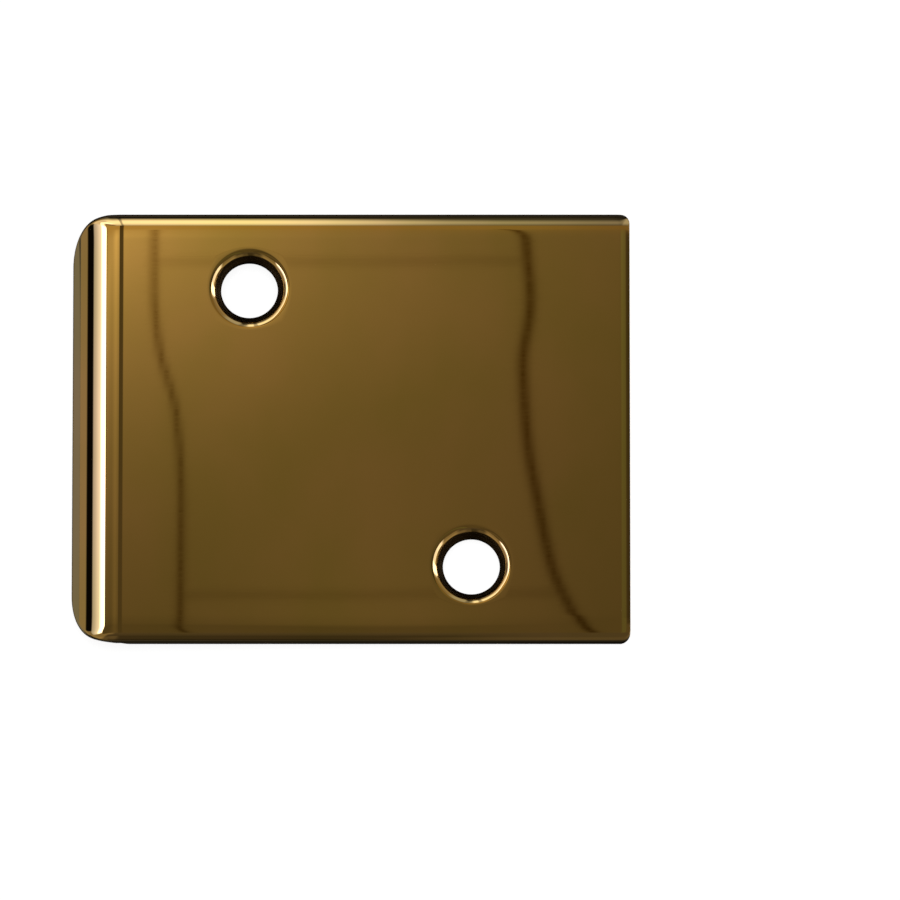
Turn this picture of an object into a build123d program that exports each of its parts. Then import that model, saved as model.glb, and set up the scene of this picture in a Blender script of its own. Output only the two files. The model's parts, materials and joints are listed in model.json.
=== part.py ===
"""Strike plate extender: one folded brass sheet, with a rolled lip and two countersunk screw holes.

The flat's back, which lies on the door jamb, is in the XY plane, with +Z out of the polished show side.
+X points away from the lip, Y runs along the bend, and the origin is midway between the screw holes.
"""
from build123d import *
import os
from math import cos, radians, sin

os.makedirs("parts", exist_ok=True)

# Driving dimensions, in millimetres and degrees

# The sheet: its width runs along the bend, and its flat from the far end to where the bend starts
sheet_thickness = 1.6
plate_width = 42.2
flat_length = 49.1

# The lip, rolled down from the flat towards the back
bend_inside_radius = 4.2
bend_angle = 60.0

# The corners: each is an arc tangent to its end, which meets the side at a slight angle
lip_corner_radius = 5.0
far_corner_radius = 1.1
corner_side_angle = 12.0

# The screw holes, one in each half of the plate, on a diagonal
screw_hole_diameter = 5.5
countersink_diameter = 7.1
countersink_angle = 82.0
hole_spacing_across = 21.5
hole_spacing_along = 27.2
holes_to_far_end = 26.1

# The show side's edges: buffed round along the sides and the countersinks, and only eased at the cut ends
side_edge_radius = 1.0
countersink_rim_radius = 0.9
lip_edge_radius = 0.35
far_edge_radius = 0.15

# Places that follow from them
far_end = holes_to_far_end
bend_start = far_end - flat_length
bend_outside_radius = bend_inside_radius + sheet_thickness
bend_centre = Vector(bend_start, 0, -bend_inside_radius)
lip_outward = Vector(-sin(radians(bend_angle)), 0, cos(radians(bend_angle)))
lip_onward = Vector(-cos(radians(bend_angle)), 0, -sin(radians(bend_angle)))
lip_end = Plane(
    origin=bend_centre + lip_outward * bend_outside_radius,
    x_dir=lip_onward,
    z_dir=lip_outward,
)
far_end_back = Plane(origin=(far_end, 0, 0))
show_face = Plane.XY.offset(sheet_thickness)
hole_places = [
    (-hole_spacing_across / 2, hole_spacing_along / 2),
    (hole_spacing_across / 2, -hole_spacing_along / 2),
]


def corner_waste(radius):
    """Sketch what rounding takes off both corners of an end that lies along the sketch's Y axis."""
    inset = radius * cos(radians(corner_side_angle))
    with GridLocations(0, plate_width, 1, 2):
        Rectangle(2 * radius, 2 * inset)
    with Locations((-radius, 0)):
        with GridLocations(0, plate_width - 2 * inset, 1, 2):
            Circle(radius, mode=Mode.SUBTRACT)


with BuildPart() as extender_plate:
    # The sheet's section: the back of the flat and the inside of the bend, thickened to the show side
    with BuildSketch(Plane.XZ):
        with BuildLine():
            flat_back = Line((far_end, 0), (bend_start, 0))
            JernArc(flat_back @ 1, flat_back % 1, bend_inside_radius, bend_angle)
            offset(amount=sheet_thickness, side=Side.RIGHT)
        make_face()
    extrude(amount=plate_width / 2, both=True)

    # The two long show edges, buffed round from the far end, over the bend, to the end of the lip
    side_edges = extender_plate.edges().filter_by(Axis.X).group_by(Axis.Z)[-1]
    fillet(side_edges, side_edge_radius)

    # The lip's corners, rounded square to its end, and the show edge of the lip eased all round
    with BuildSketch(lip_end):
        corner_waste(lip_corner_radius)
    extrude(amount=2 * bend_outside_radius, both=True, mode=Mode.SUBTRACT)
    lip_edge = extender_plate.edges().filter_by(Axis.Y).sort_by(Axis.X)[0]
    fillet(lip_edge, lip_edge_radius)

    # The screw holes, countersunk from the show side, with rims buffed like the sides
    with Locations(show_face):
        with Locations(hole_places):
            CounterSinkHole(
                radius=screw_hole_diameter / 2,
                counter_sink_radius=countersink_diameter / 2,
                counter_sink_angle=countersink_angle,
            )
    flat_outline = extender_plate.faces().filter_by(Axis.Z).sort_by(Axis.Z)[-1]
    fillet(flat_outline.edges().filter_by(GeomType.CIRCLE), countersink_rim_radius)

    # The far end's corners, and its show edge eased across the sheet and round both corners
    with BuildSketch(far_end_back):
        corner_waste(far_corner_radius)
    extrude(amount=sheet_thickness, mode=Mode.SUBTRACT)
    far_face = extender_plate.faces().filter_by(Axis.X).sort_by(Axis.X)[-1]
    fillet(far_face.edges().filter_by(Axis.Y).sort_by(Axis.Z)[-1], far_edge_radius)

extender_plate.part.label = "extender_plate"
export_step(extender_plate.part, "parts/extender_plate.step")
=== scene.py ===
"""Strike plate extender in polished brass, lying on a white table among dim studio cards.

Lengths in this script are millimetres in the part's own frame, and become metres where objects are made.
"""
import bmesh
import bpy
import json
import numpy as np
from math import cos, pi, radians, sin, tan
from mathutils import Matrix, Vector


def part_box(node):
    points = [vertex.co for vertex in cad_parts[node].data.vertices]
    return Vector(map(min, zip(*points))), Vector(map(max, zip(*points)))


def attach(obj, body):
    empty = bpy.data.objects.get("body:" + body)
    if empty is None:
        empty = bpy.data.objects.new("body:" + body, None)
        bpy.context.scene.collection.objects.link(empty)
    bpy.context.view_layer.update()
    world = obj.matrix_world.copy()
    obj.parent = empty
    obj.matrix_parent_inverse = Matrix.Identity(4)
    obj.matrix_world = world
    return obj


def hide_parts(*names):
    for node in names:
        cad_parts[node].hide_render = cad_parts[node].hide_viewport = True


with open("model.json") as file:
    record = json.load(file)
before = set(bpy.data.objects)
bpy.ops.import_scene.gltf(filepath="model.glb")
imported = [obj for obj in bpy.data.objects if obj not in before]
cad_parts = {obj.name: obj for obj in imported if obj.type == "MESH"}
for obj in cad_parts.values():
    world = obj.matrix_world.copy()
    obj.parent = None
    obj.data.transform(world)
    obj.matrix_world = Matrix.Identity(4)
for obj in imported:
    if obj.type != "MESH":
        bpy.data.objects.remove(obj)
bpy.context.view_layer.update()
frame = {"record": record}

MM = 0.001
PLATE_NODE = "extender_plate"

# The sheet, as the part's source has it
sheet_thickness = 1.6
bend_start = -23.0
bend_inside_radius = 4.2
bend_angle = radians(60.0)
lip_corner_radius = 5.0
far_corner_radius = 1.1
corner_side_angle = radians(12.0)
countersink_radius = 3.55
countersink_half_angle = radians(41.0)
countersink_rim_radius = 0.9

# Sizes that the frame gives
plate_low, plate_high = (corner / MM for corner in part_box(PLATE_NODE))
half_width = plate_high.y
far_end = plate_high.x
mounts = {mount["name"]: mount for mount in frame["record"]["mounts"]}
holes = [mounts["upper_screw_hole"], mounts["lower_screw_hole"]]
hole_places = [(hole["pos_m"][0] / MM, hole["pos_m"][1] / MM) for hole in holes]
hole_radius = holes[0]["dims"]["r_mm"]

# Sizes that follow
bend_outside_radius = bend_inside_radius + sheet_thickness
flat_length = far_end - bend_start
sheet_length = flat_length + bend_outside_radius * bend_angle
lip_tip_x = bend_start - bend_outside_radius * sin(bend_angle)
lip_tip_z = -bend_inside_radius + bend_outside_radius * cos(bend_angle)

# How polishing has worn the sides: each is an ellipse, with a faint crown beside it
side_round_width = 1.6
side_round_drop = 1.0
crown_width = 2.6
crown_drop = 0.06

# The lip's end is eased, most at its corners, and the sides' rounding fades out where a corner starts
lip_ease_radius = 0.35
corner_ease_radius = 0.45
corner_ease_inset = 1.5
fade_before_corner = 1.0
fade_past_corner = 2.0

# The far end is nearly sharp, and rolled down a little
far_ease_radius = 0.05
far_roll_width = 0.9
far_roll_drop = 0.04

# Unevenness that polishing leaves in the flat: long shallow waves, straight ones and slanted ones
wave_height = 0.0006
wave_mean = 1.6
straight_length = 3.7
straight_width = 5.3
straight_start = 0.4
meander_share = 0.6
meander_width = 6.1
slanted_share = 0.6
slanted_length = 6.3
slanted_width = 4.4
slanted_start = 1.1

# How finely the mesh follows the form
place_digits = 6
plain_step = 1.2
patch_half = 4.7
patch_steps = 24
patch_shares = (0.25, 0.5, 0.75)
rim_rings = 14
half_and_whole = (0.5, 1.0)
edge_columns = 22
crown_columns = 6
corner_rows = 16
bend_lead = 2.0
bend_rows = 44
bend_gather = 1.7
wall_steps = 3
depth_refinements = 3
width_tolerance = 1e-9
sharp_angle = radians(35.0)


def rise(low, high, value):
    """A smooth rise from 0 to 1 as the value goes from low to high."""
    share = np.clip((value - low) / (high - low), 0.0, 1.0)
    return share * share * (3.0 - 2.0 * share)


def between(low, high, soft, value):
    """1 between two values, falling smoothly to 0 over the soft width outside each."""
    return rise(low - soft, low, value) * (1.0 - rise(high, high + soft, value))


def corner_half_width(radius, distance_to_end):
    """Half width of the sheet at a distance from an end whose corners are rounded by this radius."""
    inset = radius * cos(corner_side_angle)
    reach = radius - np.clip(distance_to_end, 0.0, radius)
    return np.minimum(half_width, half_width - inset + np.sqrt(radius ** 2 - reach ** 2))


def bent(along, across, depth):
    """Place of a point of the sheet: along it from the far end, across it, and below the show surface."""
    turned = np.clip((along - flat_length) / bend_outside_radius, 0.0, None)
    from_centre = bend_outside_radius - depth
    x = np.where(turned > 0.0, bend_start - from_centre * np.sin(turned), far_end - along)
    z = np.where(turned > 0.0, -bend_inside_radius + from_centre * np.cos(turned), sheet_thickness - depth)
    return np.stack([x, across, z], axis=-1)


def edge_half_width(along, depth):
    """Half width of the sheet at a place along it and a depth, with both ends' corners taken off."""
    place = bent(along, 0.0 * along, depth)
    from_tip_x = place[..., 0] - lip_tip_x
    from_tip_z = place[..., 2] - lip_tip_z
    at_lip = corner_half_width(lip_corner_radius, from_tip_x * cos(bend_angle) + from_tip_z * sin(bend_angle))
    at_far_end = corner_half_width(far_corner_radius, along)
    return np.minimum(at_lip, at_far_end)


def cut_outlines(rows):
    """Outlines of the far end and of the lip's end in the sheet, for one side, from or to the middle."""
    widths = edge_half_width(rows, 0.0 * rows)
    points = np.stack([rows, widths], axis=-1)
    rounded = widths < half_width - width_tolerance
    near_far_end = rows < flat_length / 2
    far_outline = np.concatenate([[[0.0, 0.0]], points[rounded & near_far_end]])
    lip_outline = np.concatenate([points[rounded & ~near_far_end], [[sheet_length, 0.0]]])
    return far_outline, lip_outline


def distance_to(points, outline):
    """Shortest distance from each point of the sheet to an outline of straight runs."""
    best = np.full(points.shape[:-1], np.inf)
    for start, end in zip(outline[:-1], outline[1:]):
        run = end - start
        share = np.clip(((points - start) @ run) / (run @ run), 0.0, 1.0)
        nearest = start + share[..., None] * run
        best = np.minimum(best, np.linalg.norm(points - nearest, axis=-1))
    return best


def quarter_round(distance, width, drop):
    """How far an elliptical quarter round has dropped at a distance from its edge."""
    inward = np.clip(1.0 - distance / width, 0.0, 1.0)
    return drop * (1.0 - np.sqrt(1.0 - inward ** 2))


def rolled(distance, width, drop):
    """How far a soft roll has dropped at a distance from its edge."""
    return drop * np.clip(1.0 - distance / width, 0.0, 1.0) ** 2


def show_depth(along, across, outlines):
    """Depth of the polished surface's worn edges below the sheet's true show surface."""
    points = np.stack([along, np.abs(across)], axis=-1)
    far_outline, lip_outline = outlines
    to_side = half_width - np.abs(across)
    to_far_end = distance_to(points, far_outline)
    to_edge = np.minimum(to_side, distance_to(points, lip_outline))
    on_corner = rise(half_width - lip_corner_radius, half_width - corner_ease_inset, np.abs(across))
    ease_radius = lip_ease_radius + (corner_ease_radius - lip_ease_radius) * on_corner
    corner_start = lip_outline[0, 0]
    on_side = 1.0 - rise(corner_start - fade_before_corner, corner_start + fade_past_corner, along)
    round_width = ease_radius + (side_round_width - ease_radius) * on_side
    round_drop = ease_radius + (side_round_drop - ease_radius) * on_side
    depth = quarter_round(to_edge, round_width, round_drop)
    depth = depth + rolled(to_edge, crown_width, crown_drop) * on_side
    depth = depth + quarter_round(to_far_end, far_ease_radius, far_ease_radius)
    return depth + rolled(to_far_end, far_roll_width, far_roll_drop)


def polish_waves(along, across):
    """Depth of the long shallow waves that hand polishing leaves in the flat."""
    meander = meander_share * np.sin(across / meander_width)
    straight = np.sin(along / straight_length + meander) * np.cos(across / straight_width + straight_start)
    slanted = slanted_share * np.sin(along / slanted_length - across / slanted_width + slanted_start)
    waves = straight + slanted
    return wave_height * (wave_mean + waves)


def patched_places(first, last, middles, fewest):
    """Places from first to last, close together round each hole's middle and at plain steps elsewhere."""
    stops = [first]
    for middle in middles:
        stops += [middle - patch_half, middle + patch_half]
    stops.append(last)
    places = set()
    for index, (start, end) in enumerate(zip(stops[:-1], stops[1:])):
        round_hole = index % 2 == 1
        steps = patch_steps if round_hole else max(fewest, int((end - start) / plain_step))
        places |= {round(start + (end - start) * step / steps, place_digits) for step in range(steps + 1)}
    return places


def row_places():
    """Places along the sheet of the mesh's rows, closer together at the ends, the bend and the holes."""
    rows = set()
    corner_end = 2 * far_corner_radius
    for step in range(corner_rows + 1):
        share = 0.5 - 0.5 * cos(pi * step / corner_rows)
        rows.add(round(corner_end * share, place_digits))
    bend_rows_start = flat_length - bend_lead
    middles = sorted(far_end - x for x, y in hole_places)
    rows |= patched_places(corner_end, bend_rows_start, middles, fewest=2)
    for step in range(bend_rows + 1):
        to_end = (sheet_length - bend_rows_start) * (1.0 - step / bend_rows) ** bend_gather
        rows.add(round(sheet_length - to_end, place_digits))
    return np.array(sorted(rows))


def column_places():
    """Columns across the sheet: places in the middle field, and distances from the side for the edge band."""
    edge = [
        side_round_width * (1.0 - sin(pi / 2 * step / edge_columns))
        for step in range(edge_columns, -1, -1)
    ]
    crown = [
        side_round_width + (crown_width - side_round_width) * step / crown_columns
        for step in range(1, crown_columns + 1)
    ]
    field_half = half_width - crown_width
    middles = sorted(y for x, y in hole_places)
    field = patched_places(-field_half, field_half, middles, fewest=1)
    return np.array(sorted(field)), np.array(edge + crown)


def grid_surface(rows, field, from_side, depth_of):
    """Places of one face's grid of rows and columns, at the depth that depth_of gives."""
    field_half = half_width - crown_width
    along = np.repeat(rows[:, None], len(field) + 2 * len(from_side) - 2, axis=1)
    depth = np.zeros_like(along)
    for refinement in range(depth_refinements):
        widths = edge_half_width(along, depth)
        low = -(widths[:, :1] - from_side[None, :])
        high = (widths[:, -1:] - from_side[None, :])[:, ::-1]
        shrink = (widths[:, -1:] - crown_width) / field_half
        middle = field[None, 1:-1] * shrink
        across = np.concatenate([low, middle, high], axis=1)
        depth = depth_of(along, across)
    return bent(along, across, depth)


POLISHED, SHEARED, BORE, BACK = range(4)


class PlateMesh:
    """Vertices and faces of the plate, gathered piece by piece, with a finish for each face."""

    def __init__(self):
        self.points = []
        self.faces = []
        self.finishes = []

    def add_points(self, places):
        """Adds vertices at the places, and gives their numbers in the same arrangement."""
        first = len(self.points)
        self.points.extend(tuple(place) for place in places.reshape(-1, 3))
        return first + np.arange(places[..., 0].size).reshape(places.shape[:-1])

    def add_face(self, corners, finish):
        """Adds one face between vertices."""
        self.faces.append(corners)
        self.finishes.append(finish)

    def add_strip(self, one, other, finish):
        """Adds quads between two closed rings of vertices."""
        for here in range(len(one)):
            there = (here + 1) % len(one)
            self.add_face((one[here], one[there], other[there], other[here]), finish)


def border(grid):
    """Vertices round the border of a grid, in order."""
    return np.concatenate([grid[0, :-1], grid[:-1, -1], grid[-1, :0:-1], grid[:0:-1, 0]])


def build_plate():
    """The whole sheet as one closed mesh: show face, back, walls and the two countersunk holes."""
    mesh = PlateMesh()
    rows = row_places()
    field, from_side = column_places()
    outlines = cut_outlines(rows)

    def polished_depth(along, across):
        return show_depth(along, across, outlines) + polish_waves(along, across)

    def back_depth(along, across):
        return np.full_like(along, sheet_thickness)

    show = mesh.add_points(grid_surface(rows, field, from_side, polished_depth))
    back = mesh.add_points(grid_surface(rows, field, from_side, back_depth))

    # The quads of both faces, apart from a square window round each hole
    uncut = np.ones((show.shape[0] - 1, show.shape[1] - 1), dtype=bool)
    windows = []
    for x, y in hole_places:
        row = int(np.argmin(np.abs(rows - (far_end - x - patch_half))))
        columns = np.array(mesh.points)[show[row], 1]
        column = int(np.argmin(np.abs(columns - (y - patch_half))))
        uncut[row:row + patch_steps, column:column + patch_steps] = False
        windows.append((slice(row, row + patch_steps + 1), slice(column, column + patch_steps + 1)))
    for row, column in np.argwhere(uncut):
        for grid, finish in ((show, POLISHED), (back, BACK)):
            near_side = (grid[row, column], grid[row + 1, column])
            far_side = (grid[row + 1, column + 1], grid[row, column + 1])
            quad = near_side + far_side
            mesh.add_face(quad if finish == POLISHED else quad[::-1], finish)

    add_walls(mesh, border(show), border(back))
    for window, place in zip(windows, hole_places):
        add_hole(mesh, border(show[window]), border(back[window]), place)
    return mesh


def add_walls(mesh, upper, lower):
    """The sheared walls, all round from the show edge down to the back."""
    points = np.array(mesh.points)
    rings = [upper]
    for step in range(1, wall_steps):
        share = step / wall_steps
        rings.append(mesh.add_points(points[upper] * (1.0 - share) + points[lower] * share))
    rings.append(lower)
    for one, other in zip(rings[:-1], rings[1:]):
        mesh.add_strip(one, other, SHEARED)


def add_hole(mesh, square_show, square_back, place):
    """One screw hole: the flat round it, the buffed rim, the countersink, the bore and the back round it."""
    points = np.array(mesh.points)
    corners = points[square_show]
    back_corners = points[square_back]
    angles = np.arctan2(corners[:, 1] - place[1], corners[:, 0] - place[0])
    outward = np.stack([np.cos(angles), np.sin(angles)], axis=-1)

    def ring(radius, height):
        places = np.empty((len(angles), 3))
        places[:, :2] = np.array(place) + radius * outward
        places[:, 2] = height
        return places

    slope = pi / 2 - countersink_half_angle
    rim_start = countersink_radius + countersink_rim_radius * tan(slope / 2)
    rim_foot = rim_start - countersink_rim_radius * sin(slope)
    flat_height = float(np.mean(corners[:, 2]))
    rim_foot_height = flat_height - countersink_rim_radius * (1.0 - cos(slope))
    sink_foot_height = flat_height - (countersink_radius - hole_radius) / tan(countersink_half_angle)

    rings = [(square_show, POLISHED)]
    for share in patch_shares:
        blended = corners * (1.0 - share) + ring(rim_start, flat_height) * share
        rings.append((mesh.add_points(blended), POLISHED))
    for step in range(rim_rings + 1):
        turn = slope * step / rim_rings
        radius = rim_start - countersink_rim_radius * sin(turn)
        height = flat_height - countersink_rim_radius * (1.0 - cos(turn))
        rings.append((mesh.add_points(ring(radius, height)), POLISHED))
    for share in half_and_whole:
        radius = rim_foot * (1.0 - share) + hole_radius * share
        height = rim_foot_height * (1.0 - share) + sink_foot_height * share
        rings.append((mesh.add_points(ring(radius, height)), BORE))
    for share in half_and_whole:
        rings.append((mesh.add_points(ring(hole_radius, sink_foot_height * (1.0 - share))), BORE))
    half_way = 0.5 * ring(hole_radius, 0.0) + 0.5 * back_corners
    rings.append((mesh.add_points(half_way), BACK))
    rings.append((square_back, BACK))
    for (one, _), (other, finish) in zip(rings[:-1], rings[1:]):
        mesh.add_strip(one, other, finish)


def turn_outward(data):
    """Turns all faces outward, and keeps an edge sharp round the back and where the surface turns sharply."""
    whole = bmesh.new()
    whole.from_mesh(data)
    bmesh.ops.recalc_face_normals(whole, faces=whole.faces)
    for edge in whole.edges:
        finishes = {face.material_index for face in edge.link_faces}
        round_back = BACK in finishes and len(finishes) > 1
        edge.smooth = not round_back and edge.calc_face_angle(0.0) < sharp_angle
    whole.to_mesh(data)
    whole.free()


def make_plate_object(materials):
    """The Blender object of the plate, smooth but for its true edges, standing for the solid."""
    built = build_plate()
    places = [Vector(point) * MM for point in built.points]
    faces = [[int(corner) for corner in face] for face in built.faces]
    data = bpy.data.meshes.new("polished_plate")
    data.from_pydata(places, [], faces)
    for material in materials:
        data.materials.append(material)
    data.polygons.foreach_set("material_index", built.finishes)
    data.polygons.foreach_set("use_smooth", [True] * len(data.polygons))
    turn_outward(data)
    plate = bpy.data.objects.new("polished_plate", data)
    bpy.context.scene.collection.objects.link(plate)
    return plate


# The middle range of a noise, which roughness is spread over
noise_range = (0.3, 0.7)


def principled(material):
    """The material's node tree and its shader."""
    material.use_nodes = True
    tree = material.node_tree
    return tree, tree.nodes["Principled BSDF"]


def brass(name):
    """A new metal material, with its node tree and its shader."""
    material = bpy.data.materials.new(name)
    tree, shader = principled(material)
    shader.inputs["Metallic"].default_value = 1.0
    return material, tree, shader


def stretched_noise(tree, per_metre, detail, label):
    """Noise in object coordinates with its own fineness along each axis, for grain and hairlines."""
    coordinates = tree.nodes.new("ShaderNodeTexCoord")
    mapping = tree.nodes.new("ShaderNodeMapping")
    mapping.inputs["Scale"].default_value = per_metre
    noise = tree.nodes.new("ShaderNodeTexNoise")
    noise.label = label
    noise.inputs["Scale"].default_value = 1.0
    noise.inputs["Detail"].default_value = detail
    tree.links.new(coordinates.outputs["Object"], mapping.inputs["Vector"])
    tree.links.new(mapping.outputs["Vector"], noise.inputs["Vector"])
    return noise.outputs["Fac"]


def add_colour(tree, shader, value, low, high, dark, light):
    """The shader's colour: a ramp from dark to light between two values of its input."""
    node = tree.nodes.new("ShaderNodeValToRGB")
    node.color_ramp.elements[0].position = low
    node.color_ramp.elements[1].position = high
    node.color_ramp.elements[0].color = (*dark, 1.0)
    node.color_ramp.elements[1].color = (*light, 1.0)
    tree.links.new(value, node.inputs["Fac"])
    tree.links.new(node.outputs["Color"], shader.inputs["Base Color"])


def add_roughness(tree, shader, value, smoothest, roughest):
    """The shader's roughness, spread over the middle range of a noise."""
    node = tree.nodes.new("ShaderNodeMapRange")
    node.inputs["From Min"].default_value = noise_range[0]
    node.inputs["From Max"].default_value = noise_range[1]
    node.inputs["To Min"].default_value = smoothest
    node.inputs["To Max"].default_value = roughest
    tree.links.new(value, node.inputs["Value"])
    tree.links.new(node.outputs["Result"], shader.inputs["Roughness"])


def add_bump(tree, shader, height, depth, strength):
    """Fine relief of a depth, from a height between 0 and 1."""
    bump = tree.nodes.new("ShaderNodeBump")
    bump.inputs["Distance"].default_value = depth * MM
    bump.inputs["Strength"].default_value = strength
    tree.links.new(height, bump.inputs["Height"])
    tree.links.new(bump.outputs["Normal"], shader.inputs["Normal"])


def polished_brass():
    """Mirror-polished brass: a faint mottling of tone, and hairlines from the buffing wheel."""
    material, tree, shader = brass("polished_brass_show")
    tone = stretched_noise(tree, per_metre=(90.0, 70.0, 90.0), detail=3.0, label="tone of the polish")
    hairlines = stretched_noise(tree, per_metre=(260.0, 9000.0, 260.0), detail=4.0, label="buffing hairlines")
    darker = (0.755, 0.538, 0.175)
    lighter = (0.85, 0.562, 0.218)
    add_colour(tree, shader, tone, low=0.35, high=0.65, dark=darker, light=lighter)
    add_roughness(tree, shader, hairlines, smoothest=0.010, roughest=0.028)
    add_bump(tree, shader, hairlines, depth=0.0002, strength=0.5)
    return material


def sheared_brass():
    """The cut walls: duller, with fine shear marks down the thickness."""
    material, tree, shader = brass("sheared_brass_wall")
    marks = stretched_noise(tree, per_metre=(5200.0, 5200.0, 300.0), detail=3.0, label="shear marks")
    add_colour(tree, shader, marks, low=0.3, high=0.7, dark=(0.62, 0.41, 0.14), light=(0.76, 0.52, 0.19))
    add_roughness(tree, shader, marks, smoothest=0.22, roughest=0.36)
    add_bump(tree, shader, marks, depth=0.02, strength=0.35)
    return material


def bored_brass_painted_shade():
    """The countersinks and bores: drilled and dull, with fine rings from the drill, and coloured nearly black
    as painted shade in the holes.
    """
    material, tree, shader = brass("bored_brass_painted_shade")
    rings = stretched_noise(tree, per_metre=(300.0, 300.0, 6000.0), detail=2.0, label="drill rings")
    # Painted shade: the nearly black colour stands in for the shade in the countersinks and bores
    add_colour(tree, shader, rings, low=0.3, high=0.7, dark=(0.05, 0.033, 0.014), light=(0.09, 0.06, 0.026))
    add_roughness(tree, shader, rings, smoothest=0.34, roughest=0.48)
    return material


def mill_brass():
    """The back: unpolished sheet as it left the rolls, with grain along the sheet and faint tarnish."""
    material, tree, shader = brass("mill_brass_back")
    tarnish = stretched_noise(tree, per_metre=(110.0, 140.0, 110.0), detail=5.0, label="tarnish")
    grain = stretched_noise(tree, per_metre=(160.0, 7000.0, 160.0), detail=4.0, label="rolling grain")
    add_colour(tree, shader, tarnish, low=0.32, high=0.68, dark=(0.56, 0.37, 0.13), light=(0.76, 0.53, 0.20))
    add_roughness(tree, shader, grain, smoothest=0.26, roughest=0.40)
    add_bump(tree, shader, grain, depth=0.01, strength=0.3)
    return material


plate = make_plate_object([polished_brass(), sheared_brass(), bored_brass_painted_shade(), mill_brass()])
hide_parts(PLATE_NODE)
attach(plate, "root")

# The camera, far off with a long lens, looking nearly straight down from a little to the near side
photo_pixels = 900
photo_width = 87.0
camera_elevation = radians(79.3)
camera_distance = 1300.0
camera_clip = (50.0, 10000.0)
aim = Vector((8.69, -2.34, sheet_thickness))
camera_data = bpy.data.cameras.new("camera")
camera_data.sensor_width = 36.0
camera_data.lens = camera_data.sensor_width * camera_distance / photo_width
camera_data.clip_start = camera_clip[0] * MM
camera_data.clip_end = camera_clip[1] * MM
camera = bpy.data.objects.new("camera", camera_data)
bpy.context.scene.collection.objects.link(camera)
towards_camera = Vector((0.0, -cos(camera_elevation), sin(camera_elevation)))
camera_place = aim + towards_camera * camera_distance
camera.location = camera_place * MM
camera.rotation_mode = "QUATERNION"
camera.rotation_quaternion = (-towards_camera).to_track_quat("-Z", "Y")
bpy.context.scene.camera = camera


def on_show_face(pixels):
    """Places on the show face, or level with it, of points given in the photograph's pixels."""
    mm_per_pixel = photo_width / photo_pixels
    from_middle = (np.array(pixels, dtype=float) - photo_pixels / 2) * mm_per_pixel
    return aim.x + from_middle[:, 0], aim.y - from_middle[:, 1] / sin(camera_elevation)


def stage_mesh(name, corners, faces, material):
    """A stage object from points in millimetres."""
    data = bpy.data.meshes.new(name)
    data.from_pydata([Vector(corner) * MM for corner in corners], [], faces)
    data.materials.append(material)
    thing = bpy.data.objects.new(name, data)
    bpy.context.scene.collection.objects.link(thing)
    return thing


def glow_material():
    """The cards' material, which glows with the colour kept at each point of a card."""
    material = bpy.data.materials.new("card_glow")
    material.use_nodes = True
    material.cycles.emission_sampling = "NONE"
    tree = material.node_tree
    tree.nodes.remove(tree.nodes["Principled BSDF"])
    kept = tree.nodes.new("ShaderNodeAttribute")
    kept.attribute_name = "glow"
    glow = tree.nodes.new("ShaderNodeEmission")
    tree.links.new(kept.outputs["Color"], glow.inputs["Color"])
    tree.links.new(glow.outputs["Emission"], tree.nodes["Material Output"].inputs["Surface"])
    return material


card_glow = glow_material()


def glow_card(name, x, y, z, colours):
    """A studio card that shows only in the polish: a grid of places, with a colour of light at each."""
    rows, columns = colours.shape[:2]
    places = np.stack(np.broadcast_arrays(x, y, z), axis=-1).reshape(-1, 3)
    corner = np.arange(rows * columns).reshape(rows, columns)
    quads = np.stack([corner[:-1, :-1], corner[1:, :-1], corner[1:, 1:], corner[:-1, 1:]], axis=-1)
    card = stage_mesh(name, places.tolist(), quads.reshape(-1, 4).tolist(), card_glow)
    kept = card.data.attributes.new("glow", "FLOAT_COLOR", "POINT")
    opaque = np.ones((rows, columns, 1))
    kept.data.foreach_set("color", np.concatenate([colours, opaque], axis=-1).ravel())
    card.visible_camera = False
    card.visible_diffuse = False
    card.visible_shadow = False
    card.visible_transmission = False


def tinted(level, tint):
    """Colours of one tint at the levels given."""
    return level[..., None] * np.array(tint)


def layered(colours, other, share):
    """Colours gone over into others by a share at each place."""
    return colours * (1.0 - share[..., None]) + other * share[..., None]


# The overhead panel, which the flat mirrors, and its grid, which is fine where the flat mirrors it
panel_height = 300.0
panel_edges_x = (-216.0, 190.0)
panel_edges_y = (-190.0, 185.0)
panel_fine_x = (-75.0, 68.0)
panel_fine_y = (16.0, 102.0)
panel_fine_step = 0.6
panel_coarse_lines = 40

# The panel glows most over the lip's upper corner; the glow's centre and reach are in the flat's plane
panel_tint = (1.0, 0.82, 0.45)
panel_base = 0.055
panel_glow = 1.276
glow_centre = (-43.5, 28.2)
glow_reach = (20.8, 11.9)

# A second glow, faint, grows towards the near side, and past that side the panel keeps a least level
second_glow = 0.035
second_glow_x = 1.0
second_glow_reach = 14.0
second_glow_start_y = 2.0
near_side_level = 0.1

# What the bend mirrors of the panel: a dark gap, a brighter stripe beyond it, and a dimmer end
gap_x = (-64.0, -39.0)
gap_soft = 4.0
gap_level = 0.08
bright_stripe_x = -100.0
bright_stripe_reach = 22.0
bright_stripe_gain = 0.3
dimmer_end_x = (-120.0, -150.0)
dimmer_end_loss = 0.1

# What the far edge mirrors of the panel: a pale stripe, and a dark strip past it, which the rims mirror too
pale_stripe_x = (38.0, 56.0)
pale_stripe_soft = 6.0
pale_stripe_end_y = (90.0, 102.0)
pale_stripe_gain = (0.2, 0.45, 0.25)
dark_strip_x = (58.0, 66.0)
dark_strip_y = (27.0, 90.0)
dark_strip_soft = 12.0
dark_strip_loss = 0.4

# A golden border on the panel's far side, which the upper edge mirrors beside its highlight
gold_tint = (1.0, 0.74, 0.3)
gold_y = (82.0, 102.0)
gold_level = 0.48
gold_first_loss = 0.2
gold_first_loss_x = (-24.0, 8.0)
gold_second_loss = 0.08
gold_second_loss_x = (14.0, 27.0)
gold_gap_loss = 0.85

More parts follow.
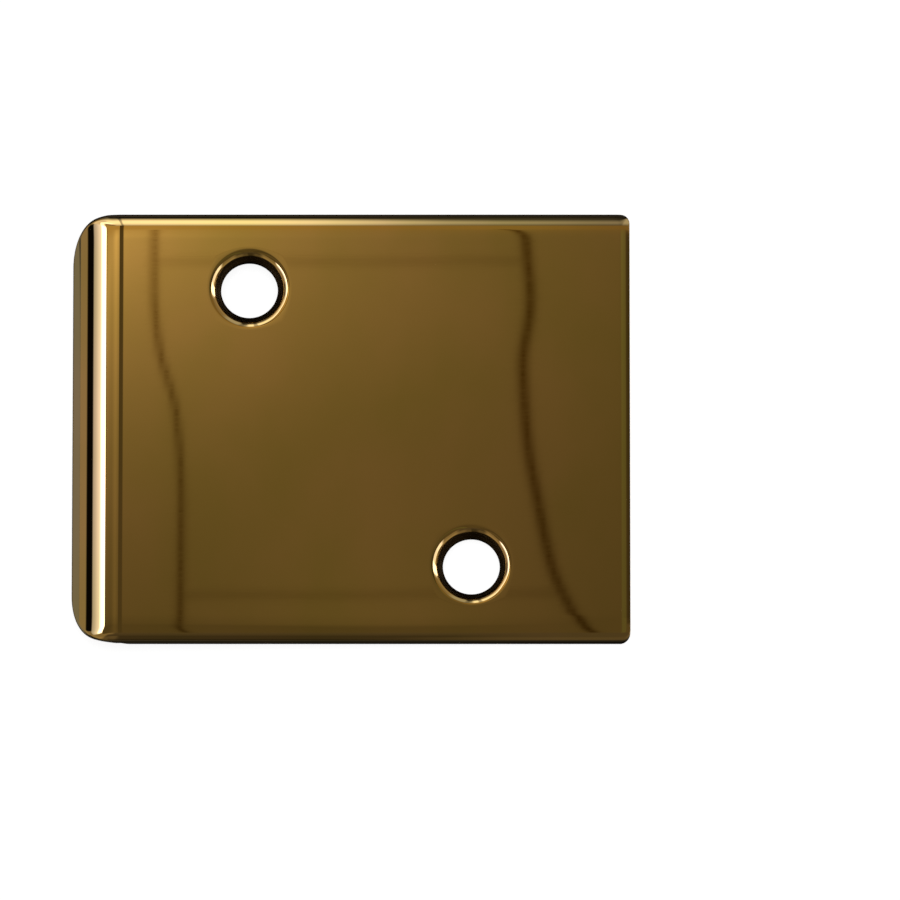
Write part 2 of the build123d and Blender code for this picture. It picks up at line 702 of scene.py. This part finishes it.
# The panel's seams, dark wavy lines in the flat: pixels of the photograph, run on past the plate's sides
left_seam = [
    (154, 135), (154, 312), (161, 365), (173, 394), (179, 443), (182, 496), (180, 720), (182, 2450),
]
right_seam = [
    (500, 118), (514, 140), (523, 190), (526, 250), (530, 295), (529, 322), (522, 352), (525, 400),
    (529, 450), (546, 545), (555, 580), (568, 605), (577, 618), (583, 715), (587, 1510), (597, 2450),
]
upper_seam = [(156, 261), (526, 261)]
lower_seam = [(183, 595), (560, 593)]

# How much light the seams take, how wide they are on the plate, and how their bends and ends are softened
seam_takes = (0.72, 0.82, 1.0)
left_seam_strength = 0.85
left_seam_width = 0.36
right_seam_strength = 0.97
right_seam_width = 0.52
cross_seam_strength = 0.25
cross_seam_width = 0.45
seam_smoothing = (-1.6, -0.8, 0.0, 0.8, 1.6)
seam_end_soft = 1.5


def seam_share(across, along, seam_across, seam_along, width):
    """How much of a seam's darkness falls on each place; the seam runs along, and bends across."""
    courses = [np.interp(along + shift, seam_along, seam_across) for shift in seam_smoothing]
    share = np.exp(-((across - np.mean(courses, axis=0)) / width) ** 2)
    return share * between(seam_along[0], seam_along[-1], seam_end_soft, along)


def seam_darkness(plate_x, plate_y):
    """How dark the seams make the panel where it is mirrored at these places on the plate."""
    shares = []
    for seam, strength, width in (
        (left_seam, left_seam_strength, left_seam_width),
        (right_seam, right_seam_strength, right_seam_width),
    ):
        seam_x, seam_y = on_show_face(seam[::-1])
        shares.append(strength * seam_share(plate_x, plate_y, seam_x, seam_y, width))
    for seam in (upper_seam, lower_seam):
        seam_x, seam_y = on_show_face(seam)
        shares.append(cross_seam_strength * seam_share(plate_y, plate_x, seam_y, seam_x, cross_seam_width))
    return np.maximum.reduce(shares)


def overhead_colours(x, y):
    """Colours of the panel at places on it."""
    lever = (panel_height - sheet_thickness) / (camera_place.z - sheet_thickness)
    plate_x = (x + lever * camera_place.x) / (1.0 + lever)
    plate_y = (y + lever * camera_place.y) / (1.0 + lever)

    # The two glows
    from_glow_x = (np.maximum(plate_x, bend_start) - glow_centre[0]) / glow_reach[0]
    from_glow_y = (np.minimum(plate_y, half_width) - glow_centre[1]) / glow_reach[1]
    level = panel_base + panel_glow / (1.0 + from_glow_x ** 2 + from_glow_y ** 2)
    second_share = np.exp(-((plate_x - second_glow_x) / second_glow_reach) ** 2)
    level = level + second_glow * second_share * rise(second_glow_start_y, -half_width, plate_y)
    level = np.where(plate_y < -half_width, np.maximum(level, near_side_level), level)

    # What the bend and the far edge mirror
    bright_stripe = np.exp(-((x - bright_stripe_x) / bright_stripe_reach) ** 2)
    dimmer_end = rise(*dimmer_end_x, x)
    level = level * (1.0 + bright_stripe_gain * bright_stripe - dimmer_end_loss * dimmer_end)
    gap = between(*gap_x, gap_soft, x)
    level = level * (1.0 - gap) + gap_level * gap
    dark_strip = rise(*dark_strip_x, x) * between(*dark_strip_y, dark_strip_soft, y)
    level = level * (1.0 - dark_strip_loss * dark_strip)
    pale_stripe = between(*pale_stripe_x, pale_stripe_soft, x) * (1.0 - rise(*pale_stripe_end_y, y))
    colours = tinted(level, panel_tint) * (1.0 + tinted(pale_stripe, pale_stripe_gain))

    # The golden border, which dims towards the far end
    gold = gold_level - gold_first_loss * rise(*gold_first_loss_x, plate_x)
    gold = gold - gold_second_loss * rise(*gold_second_loss_x, plate_x)
    gold_colours = tinted(gold * (1.0 - gold_gap_loss * gap), gold_tint)
    colours = layered(colours, gold_colours, rise(*gold_y, y))
    return colours * (1.0 - tinted(seam_darkness(plate_x, plate_y), seam_takes))


def panel_lines(edges, fine):
    """Lines of the panel's grid, fine where the flat mirrors it."""
    coarse = np.linspace(*edges, panel_coarse_lines)
    return np.unique(np.concatenate([coarse, np.arange(*fine, panel_fine_step)]))


panel_y, panel_x = np.meshgrid(
    panel_lines(panel_edges_y, panel_fine_y), panel_lines(panel_edges_x, panel_fine_x), indexing="ij"
)
glow_card("overhead_panel", panel_x, panel_y, panel_height, overhead_colours(panel_x, panel_y))

# Four walls of cards round the plate, each a grid of places along it and heights
wall_distance = 520.0
wall_foot = -20.0
wall_top = 1000.0
wall_columns = 131
wall_rows = 103
wall_along, wall_up = np.meshgrid(
    np.linspace(-wall_distance, wall_distance, wall_columns), np.linspace(wall_foot, wall_top, wall_rows)
)

# The tint of dim light in the corners and at the east wall's foot
warm_tint = (1.0, 0.84, 0.58)

# The room's corners: a dim warm light, and in one of them a softbox with a bright core
corner_along = (205.0, 340.0)
corner_level = 0.35
corner_level_up = (40.0, 150.0)
corner_loss = 0.1
corner_loss_up = (200.0, 520.0)
corner_softbox_level = 0.6
corner_softbox_up = (250.0, 700.0)
corner_softbox_soft = 60.0
corner_core_level = 1.3
corner_core_up = (520.0, 640.0)
corner_core_soft = 40.0
corner_softbox_tint = (1.0, 1.03, 1.35)


def corner_colours(up, softbox):
    """Colours of a corner of the room, with its softbox at a share of its strength."""
    dim = corner_level * rise(*corner_level_up, up) - corner_loss * rise(*corner_loss_up, up)
    box = corner_softbox_level * between(*corner_softbox_up, corner_softbox_soft, up)
    core = corner_core_level * between(*corner_core_up, corner_core_soft, up)
    return tinted(dim, warm_tint) + tinted(softbox * (box + core), corner_softbox_tint)


def with_corners(colours, along, up, low_softbox, high_softbox):
    """A wall's colours, gone over towards its two ends into those of the corners."""
    colours = layered(colours, corner_colours(up, low_softbox), rise(*corner_along, -along))
    return layered(colours, corner_colours(up, high_softbox), rise(*corner_along, along))


# The west wall's softbox, brighter in its upper part
west_softbox_level = 0.55
west_softbox_gain = 0.6
west_softbox_gain_up = (283.0, 500.0)
west_softbox_top_gain = 2.2
west_softbox_top_up = (480.0, 570.0)
west_softbox_up = (302.0, 720.0)
west_softbox_soft = 30.0
west_softbox_tint = (1.0, 1.05, 1.6)

# What is below it: a dark band, a dim card over part of the band, and a dim foot
west_band_level = 0.004
west_band_gain = 0.03
west_band_gain_along = (150.0, 195.0)
west_card_level = 0.25
west_card_up = (134.0, 270.0)
west_card_soft = 25.0
west_card_end_along = (30.0, 65.0)
west_foot_level = 0.30
west_foot_end_up = (120.0, 150.0)
west_lower_tint = (1.0, 0.86, 0.72)


def west_colours(along, up):
    """The wall that the lip mirrors: a softbox over a dark band, a dim card and a dim foot."""
    softbox = west_softbox_level + west_softbox_gain * rise(*west_softbox_gain_up, up)
    softbox = softbox + west_softbox_top_gain * rise(*west_softbox_top_up, up)
    softbox = softbox * between(*west_softbox_up, west_softbox_soft, up)
    band = west_band_level + west_band_gain * rise(*west_band_gain_along, along)
    card = west_card_level * between(*west_card_up, west_card_soft, up)
    card = card * (1.0 - rise(*west_card_end_along, along))
    foot = west_foot_level * (1.0 - rise(*west_foot_end_up, up))
    colours = tinted(softbox, west_softbox_tint) + tinted(foot + band + card, west_lower_tint)
    return with_corners(colours, along, up, low_softbox=0.0, high_softbox=1.0)


# The east wall's softbox, dimmer in its middle, and with a strong part that reaches lower
east_middle_along = (60.0, 120.0)
east_strong_along = (110.0, 240.0)
east_strong_soft = 40.0
east_softbox_level = 1.5
east_middle_loss = 0.2
east_strong_gain = 1.3
east_softbox_bottom = 290.0
east_strong_reach = 170.0
east_softbox_top = 960.0
east_softbox_soft = 40.0
east_softbox_tint = (1.0, 1.03, 1.4)

# The dim foot below it, brighter in its middle
east_foot_level = 0.14
east_foot_middle_gain = 0.24
east_foot_up = (110.0, 290.0)
east_foot_soft = 50.0


def east_colours(along, up):
    """The wall past the far end: a softbox, dimmer in its middle, over a dim foot."""
    in_middle = 1.0 - rise(*east_middle_along, np.abs(along))
    strong = between(*east_strong_along, east_strong_soft, along)
    softbox = east_softbox_level - east_middle_loss * in_middle + east_strong_gain * strong
    bottom = east_softbox_bottom - east_strong_reach * strong
    softbox = softbox * between(bottom, east_softbox_top, east_softbox_soft, up)
    foot = east_foot_level + east_foot_middle_gain * in_middle
    foot = foot * between(*east_foot_up, east_foot_soft, up)
    colours = tinted(softbox, east_softbox_tint) + tinted(foot, warm_tint)
    return with_corners(colours, along, up, low_softbox=0.0, high_softbox=0.0)


# The north wall's level, which falls from the lip's side to the far end's
north_level = 1.45
north_loss = 1.0
north_loss_along = (-28.0, 15.0)
north_dip = 0.2
north_dip_along = (40.0, 60.0)
north_dip_soft = 28.0
north_tint = (1.0, 1.05, 1.12)

# How high up its light starts and is full: higher in the middle, and lower past the far end
north_middle_along = (-15.0, 20.0)
north_past_end_along = (38.0, 80.0)
north_start_up = 90.0
north_start_lift = 40.0
north_full_up = 420.0
north_full_lift = 130.0
north_full_drop = 270.0
north_top_loss = 0.7
north_top_loss_start = 480.0

# A least level in the middle, a dimmer gap, and a dim foot towards the west
north_least_level = 0.12
north_least_up = (40.0, 90.0)
north_gap_along = (-100.0, -72.0)
north_gap_soft = 12.0
north_gap_loss = 0.6
north_foot_level = 0.1
north_foot_end_along = (-150.0, -100.0)
north_foot_up = (30.0, 200.0)
north_foot_soft = 20.0


def north_colours(along, up):
    """The wall that the upper edge mirrors: bright towards the lip, and dim towards the far end."""
    level = north_level - north_loss * rise(*north_loss_along, along)
    level = level - north_dip * between(*north_dip_along, north_dip_soft, along)
    past_far_end = rise(*north_past_end_along, along)
    in_middle = rise(*north_middle_along, along) - past_far_end
    start_up = north_start_up + north_start_lift * in_middle
    full_up = north_full_up + north_full_lift * in_middle - north_full_drop * past_far_end
    height = rise(start_up, full_up, up) * (1.0 - north_top_loss * rise(north_top_loss_start, wall_top, up))
    height = np.maximum(height, north_least_level * in_middle * rise(*north_least_up, up))
    gap = between(*north_gap_along, north_gap_soft, along)
    foot = north_foot_level * (1.0 - rise(*north_foot_end_along, along))
    foot = foot * between(*north_foot_up, north_foot_soft, up)
    colours = tinted(level * height * (1.0 - north_gap_loss * gap) + foot, north_tint)
    return with_corners(colours, along, up, low_softbox=1.0, high_softbox=0.0)


# The south wall: dark, and a little lighter high up, towards the far end, in a low band and to each side
south_level = 0.02
south_gain = 0.07
south_gain_up = (0.0, 800.0)
south_gain_along = (-10.0, 25.0)
south_band_gain = 0.02
south_band_up = (110.0, 260.0)
south_band_soft = 60.0
south_side_gain = 0.07
south_side_along = (60.0, 150.0)
south_side_up = (100.0, 400.0)
south_side_soft = 60.0
south_tint = (1.0, 0.85, 0.62)


def south_colours(along, up):
    """The wall that the lower edge mirrors: dark, and a little lighter to each side."""
    level = south_level + south_gain * np.maximum(rise(*south_gain_up, up), rise(*south_gain_along, along))
    level = level + south_band_gain * between(*south_band_up, south_band_soft, up)
    sides = south_side_gain * rise(*south_side_along, np.abs(along))
    sides = sides * between(*south_side_up, south_side_soft, up)
    colours = tinted(level + sides, south_tint)
    return with_corners(colours, along, up, low_softbox=0.0, high_softbox=0.0)


glow_card("west_wall", -wall_distance, wall_along, wall_up, west_colours(wall_along, wall_up))
glow_card("east_wall", wall_distance, wall_along, wall_up, east_colours(wall_along, wall_up))
glow_card("north_wall", wall_along, wall_distance, wall_up, north_colours(wall_along, wall_up))
glow_card("south_wall", wall_along, -wall_distance, wall_up, south_colours(wall_along, wall_up))

# The table, tilted to meet the lip's low edge and the far end's back edge
lip_low_x = bend_start - bend_inside_radius * sin(bend_angle)
table_slope = -plate_low.z / (far_end - lip_low_x)
table_clearance = 0.02
table_reach = 1500.0
table_white = 0.8
table_roughness = 0.9
table_glow = 0.86


def table_height(x):
    """Height of the table under a place."""
    return (x - far_end) * table_slope - table_clearance


table_material = bpy.data.materials.new("white_table")
table_shader = principled(table_material)[1]
table_shader.inputs["Base Color"].default_value = (table_white, table_white, table_white, 1.0)
table_shader.inputs["Roughness"].default_value = table_roughness
table_shader.inputs["Specular IOR Level"].default_value = 0.0
table_shader.inputs["Emission Color"].default_value = (1.0, 1.0, 1.0, 1.0)
table_shader.inputs["Emission Strength"].default_value = table_glow
table_corners = [
    (side_x * table_reach, side_y * table_reach, table_height(side_x * table_reach))
    for side_x, side_y in ((-1, -1), (1, -1), (1, 1), (-1, 1))
]
table = stage_mesh("table", table_corners, [(0, 1, 2, 3)], table_material)
table.visible_glossy = False

# What the polish sees of the table, as a painted reflection: dark close to the plate's sides, which is
# painted shade, and lighter beside its ends and far off
twin_reach = 600.0
twin_coarse_lines = 61
twin_fine_reach = 60.0
twin_fine_lines = 121
twin_tint = (1.0, 1.05, 1.35)
far_off_level = 0.2
far_off_from = (40.0, 120.0)
along_ends_soft = 4.0
beside_lip_level = 0.22
beside_lip_soft = 4.0
beside_far_end_level = 0.4
beside_far_end_soft = 2.0
# Painted shade: the table's dim level close to the plate's sides
beside_sides_level = 0.02
beside_sides_soft = 2.0
twin_coarse = np.linspace(-twin_reach, twin_reach, twin_coarse_lines)
twin_fine = np.linspace(-twin_fine_reach, twin_fine_reach, twin_fine_lines)
twin_lines = np.unique(np.concatenate([twin_coarse, twin_fine]))
twin_y, twin_x = np.meshgrid(twin_lines, twin_lines, indexing="ij")
past_end = np.maximum(np.maximum(plate_low.x - twin_x, twin_x - far_end), 0.0)
past_side = np.maximum(np.abs(twin_y) - half_width, 0.0)
far_off = far_off_level * rise(*far_off_from, np.hypot(past_end, past_side))
along_ends = 1.0 - rise(0.0, along_ends_soft, past_side)
beside_lip = beside_lip_level * rise(0.0, beside_lip_soft, plate_low.x - twin_x) * along_ends
beside_far_end = beside_far_end_level * rise(0.0, beside_far_end_soft, twin_x - far_end) * along_ends
beside_sides = beside_sides_level * rise(0.0, beside_sides_soft, past_side)
twin_levels = np.maximum.reduce([far_off, beside_lip, beside_far_end, beside_sides])
twin_colours = tinted(twin_levels, twin_tint)
glow_card("table_in_polish", twin_x, twin_y, table_height(twin_x) - table_clearance, twin_colours)

# A wide soft light over the table, kept out of the polish
sky_size = 1200.0
sky_height = 1000.0
sky_energy = 3.6
sky_data = bpy.data.lights.new("soft_sky", "AREA")
sky_data.size = sky_size * MM
sky_data.energy = sky_energy
sky = bpy.data.objects.new("soft_sky", sky_data)
sky.location = (0.0, 0.0, sky_height * MM)
sky.visible_glossy = False
bpy.context.scene.collection.objects.link(sky)

# The room, nearly dark
room_colour = (0.01, 0.009, 0.008, 1.0)
world = bpy.data.worlds.new("dim_room")
bpy.context.scene.world = world
world.use_nodes = True
world.node_tree.nodes["Background"].inputs["Color"].default_value = room_colour

bpy.context.scene.view_settings.view_transform = "Standard"
